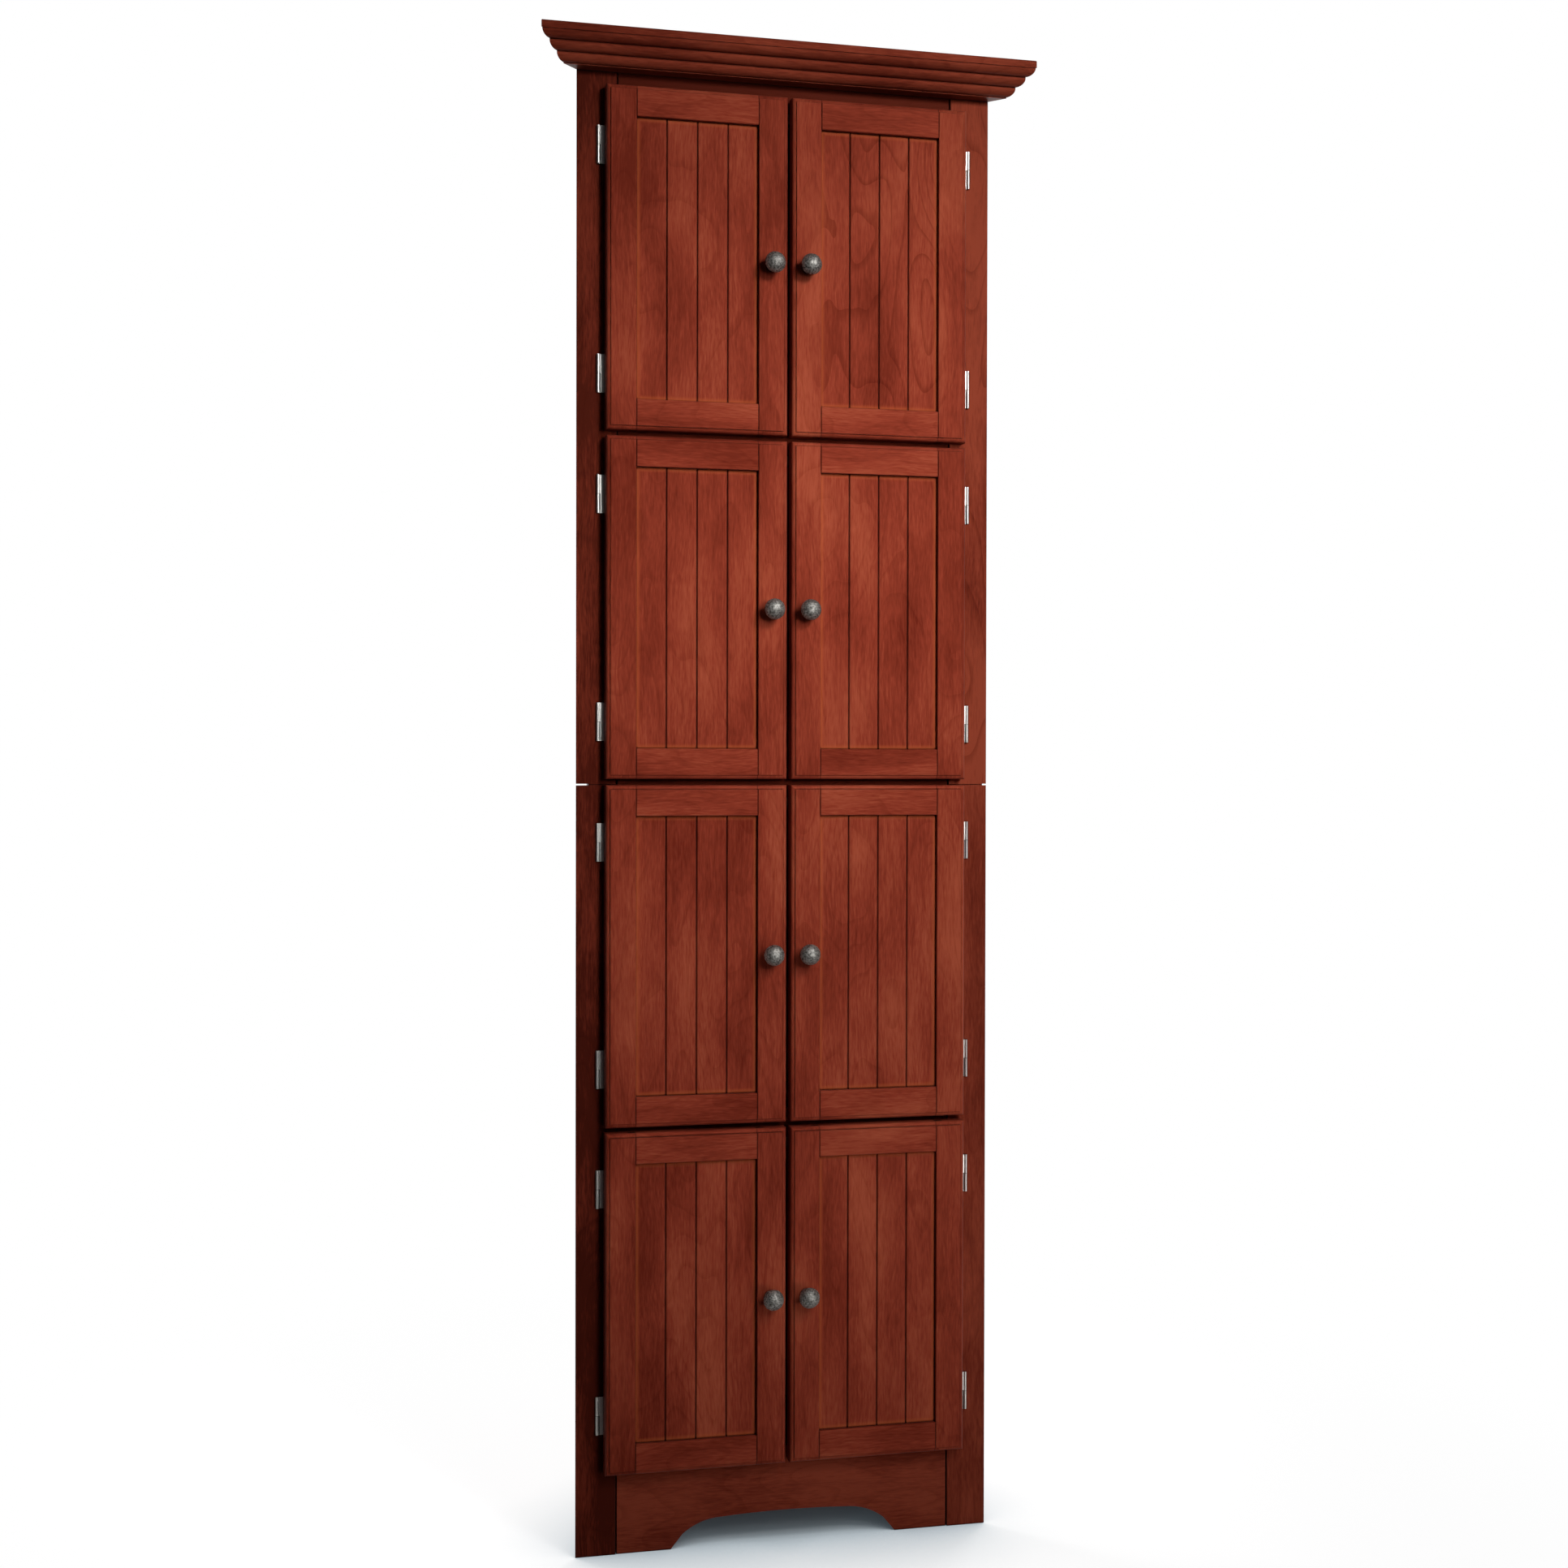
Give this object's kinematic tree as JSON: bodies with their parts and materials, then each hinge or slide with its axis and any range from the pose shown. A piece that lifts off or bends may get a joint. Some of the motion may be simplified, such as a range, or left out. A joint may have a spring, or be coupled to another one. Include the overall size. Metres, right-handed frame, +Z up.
{
  "type": "corner cabinet",
  "caption": "Tall corner cabinet in stacked units with rows of paired beadboard doors on pinned hinges, domed knobs, a stepped crown and an arched toe board.",
  "frame": {"origin": "on the floor, under the middle of the whole cabinet's box", "axes": "+X to the right along the front, +Y from the front to the room corner, +Z up"},
  "size_m": [0.613, 0.3064, 1.829],
  "materials": {
    "frame_wood": "red-brown stain, satin lacquer",
    "door_frame_wood": "red-brown stain, satin lacquer",
    "panel_planks": "red-brown stain, satin lacquer",
    "case_boards": "stained veneered board",
    "knob_pewter": "antique pewter",
    "hinge_nickel": "satin nickel plate",
    "catch_plastic": "moulded brown plastic",
    "dowel_beech": "bare beech"
  },
  "bodies": {
    "cabinet": {"arched_toe_board": "frame_wood", "crown_moulding": "frame_wood", "frame_hinge_leaves": "hinge_nickel", "frame_screws": "hinge_nickel", "hinge_pins": "hinge_nickel", "lower_left_side": "case_boards", "lower_left_stile": "frame_wood", "lower_rails": "frame_wood", "lower_right_side": "case_boards", "lower_right_stile": "frame_wood", "lower_shelf_boards": "case_boards", "magnetic_catches": "catch_plastic", "stacking_dowels": "dowel_beech", "top_board": "case_boards", "upper_left_side": "case_boards", "upper_left_stile": "frame_wood", "upper_rails": "frame_wood", "upper_right_side": "case_boards", "upper_right_stile": "frame_wood", "upper_shelf_boards": "case_boards"},
    "door_1_left": {"door_1_left_hardware": "hinge_nickel", "door_1_left_knob": "knob_pewter", "door_1_left_panel": "panel_planks", "door_1_left_rails": "door_frame_wood", "door_1_left_stiles": "door_frame_wood"},
    "door_1_right": {"door_1_right_hardware": "hinge_nickel", "door_1_right_knob": "knob_pewter", "door_1_right_panel": "panel_planks", "door_1_right_rails": "door_frame_wood", "door_1_right_stiles": "door_frame_wood"},
    "door_2_left": {"door_2_left_hardware": "hinge_nickel", "door_2_left_knob": "knob_pewter", "door_2_left_panel": "panel_planks", "door_2_left_rails": "door_frame_wood", "door_2_left_stiles": "door_frame_wood"},
    "door_2_right": {"door_2_right_hardware": "hinge_nickel", "door_2_right_knob": "knob_pewter", "door_2_right_panel": "panel_planks", "door_2_right_rails": "door_frame_wood", "door_2_right_stiles": "door_frame_wood"},
    "door_3_left": {"door_3_left_hardware": "hinge_nickel", "door_3_left_knob": "knob_pewter", "door_3_left_panel": "panel_planks", "door_3_left_rails": "door_frame_wood", "door_3_left_stiles": "door_frame_wood"},
    "door_3_right": {"door_3_right_hardware": "hinge_nickel", "door_3_right_knob": "knob_pewter", "door_3_right_panel": "panel_planks", "door_3_right_rails": "door_frame_wood", "door_3_right_stiles": "door_frame_wood"},
    "door_4_left": {"door_4_left_hardware": "hinge_nickel", "door_4_left_knob": "knob_pewter", "door_4_left_panel": "panel_planks", "door_4_left_rails": "door_frame_wood", "door_4_left_stiles": "door_frame_wood"},
    "door_4_right": {"door_4_right_hardware": "hinge_nickel", "door_4_right_knob": "knob_pewter", "door_4_right_panel": "panel_planks", "door_4_right_rails": "door_frame_wood", "door_4_right_stiles": "door_frame_wood"}
  },
  "joints": [
    {"name": "door_1_left_hinge", "type": "hinge", "parent": "cabinet", "child": "door_1_left", "pos_m": [-0.2329, -0.1079, 1.5639], "axis": [0, 0, -1], "range_deg": [0, 110]},
    {"name": "door_1_right_hinge", "type": "hinge", "parent": "cabinet", "child": "door_1_right", "pos_m": [0.2329, -0.1079, 1.5639], "axis": [0, 0, 1], "range_deg": [0, 110]},
    {"name": "door_2_left_hinge", "type": "hinge", "parent": "cabinet", "child": "door_2_left", "pos_m": [-0.2329, -0.1079, 1.1452], "axis": [0, 0, -1], "range_deg": [0, 110]},
    {"name": "door_2_right_hinge", "type": "hinge", "parent": "cabinet", "child": "door_2_right", "pos_m": [0.2329, -0.1079, 1.1452], "axis": [0, 0, 1], "range_deg": [0, 110]},
    {"name": "door_3_left_hinge", "type": "hinge", "parent": "cabinet", "child": "door_3_left", "pos_m": [-0.2329, -0.1079, 0.7259], "axis": [0, 0, -1], "range_deg": [0, 110]},
    {"name": "door_3_right_hinge", "type": "hinge", "parent": "cabinet", "child": "door_3_right", "pos_m": [0.2329, -0.1079, 0.7259], "axis": [0, 0, 1], "range_deg": [0, 110]},
    {"name": "door_4_left_hinge", "type": "hinge", "parent": "cabinet", "child": "door_4_left", "pos_m": [-0.2329, -0.1079, 0.3072], "axis": [0, 0, -1], "range_deg": [0, 110]},
    {"name": "door_4_right_hinge", "type": "hinge", "parent": "cabinet", "child": "door_4_right", "pos_m": [0.2329, -0.1079, 0.3072], "axis": [0, 0, 1], "range_deg": [0, 110]}
  ]
}
